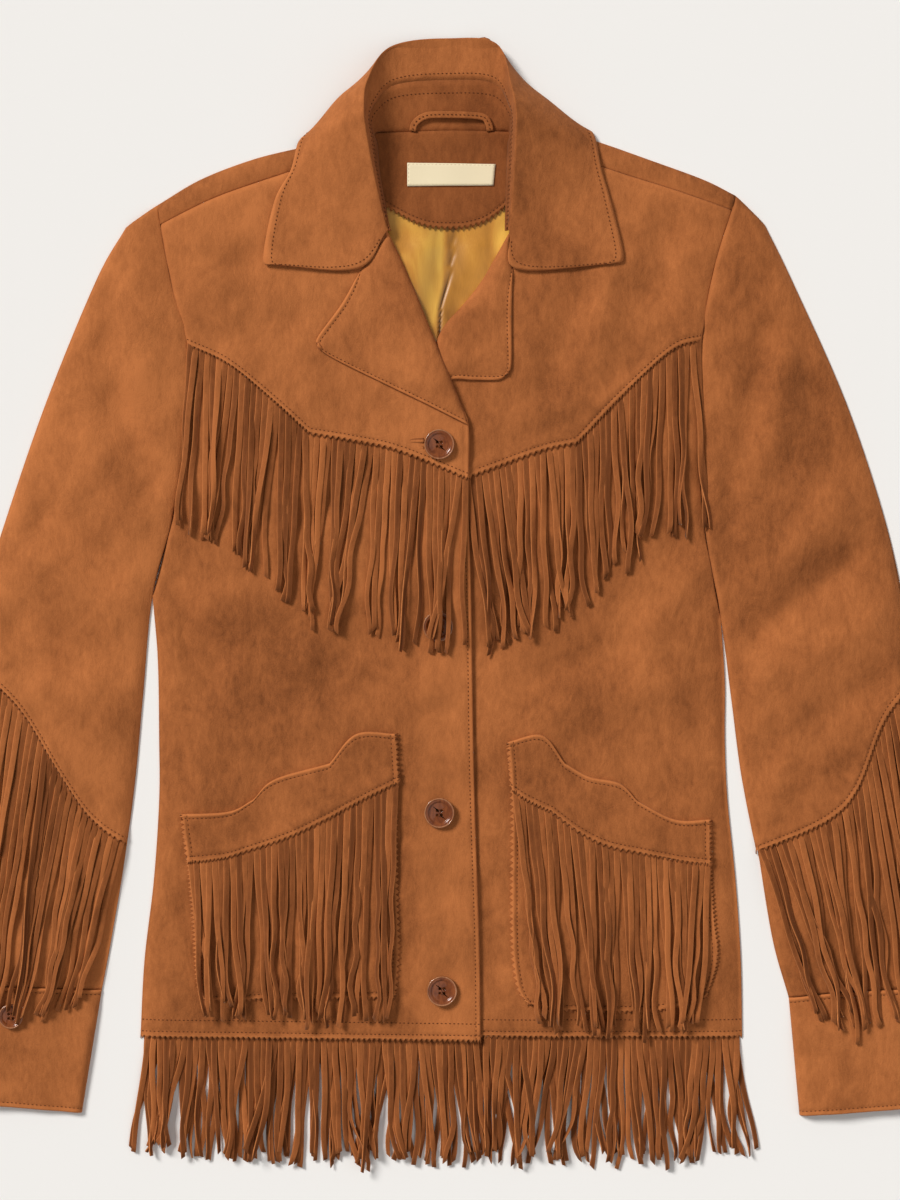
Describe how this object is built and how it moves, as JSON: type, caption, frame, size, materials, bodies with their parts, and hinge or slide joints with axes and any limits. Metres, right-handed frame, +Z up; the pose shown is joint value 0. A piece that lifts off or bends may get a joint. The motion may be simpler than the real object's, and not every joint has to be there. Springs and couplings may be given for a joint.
{
  "type": "fringed suede western jacket",
  "caption": "Fringed suede western jacket lying face up: notched collar, pointed yokes, patch pockets, buttoned front, cut fringe at yokes, pockets, sleeves and hem.",
  "frame": {"origin": "middle of the jacket's length and width, on the surface it lies on", "axes": "+X across the jacket to the wearer's left side, +Y along it from hem to collar, +Z up from the surface"},
  "size_m": [0.784, 0.8435, 0.0316],
  "materials": {
    "suede": "napped cognac brown suede, cloudy and matt",
    "inner_suede": "napped suede of the stand, neck facing and hanger loop, a shade darker",
    "fringe_suede": "strips cut from the same suede, with lighter raw edges",
    "lining_satin": "golden satin with soft lights",
    "label_tape": "plain cream woven tape with no lettering",
    "button_plastic": "polished dark brown with a raised rim"
  },
  "bodies": {
    "root": {"back_body": "suede", "back_lining": "lining_satin", "back_neck_facing": "inner_suede", "neck_label": "label_tape", "hanger_loop": "inner_suede", "collar_stand": "inner_suede", "collar": "suede", "hem_fringe_back": "fringe_suede", "buttonhole_welt": "suede", "front_right": "suede", "yoke_right": "suede", "yoke_fringe_right": "fringe_suede", "lapel_right": "suede", "pocket_right": "suede", "pocket_band_right": "suede", "pocket_fringe_right": "fringe_suede", "hem_fringe_front_right": "fringe_suede", "sleeve_upper_right": "suede", "sleeve_lower_right": "suede", "sleeve_back_right": "suede", "sleeve_fringe_right": "fringe_suede", "cuff_right": "suede", "front_left": "suede", "yoke_left": "suede", "yoke_fringe_left": "fringe_suede", "lapel_left": "suede", "pocket_left": "suede", "pocket_band_left": "suede", "pocket_fringe_left": "fringe_suede", "hem_fringe_front_left": "fringe_suede", "sleeve_upper_left": "suede", "sleeve_lower_left": "suede", "sleeve_back_left": "suede", "sleeve_fringe_left": "fringe_suede", "cuff_left": "suede", "front_button_1": "button_plastic", "front_button_2": "button_plastic", "front_button_3": "button_plastic", "front_button_4": "button_plastic", "cuff_button_right": "button_plastic", "cuff_button_left": "button_plastic"}
  },
  "joints": []
}
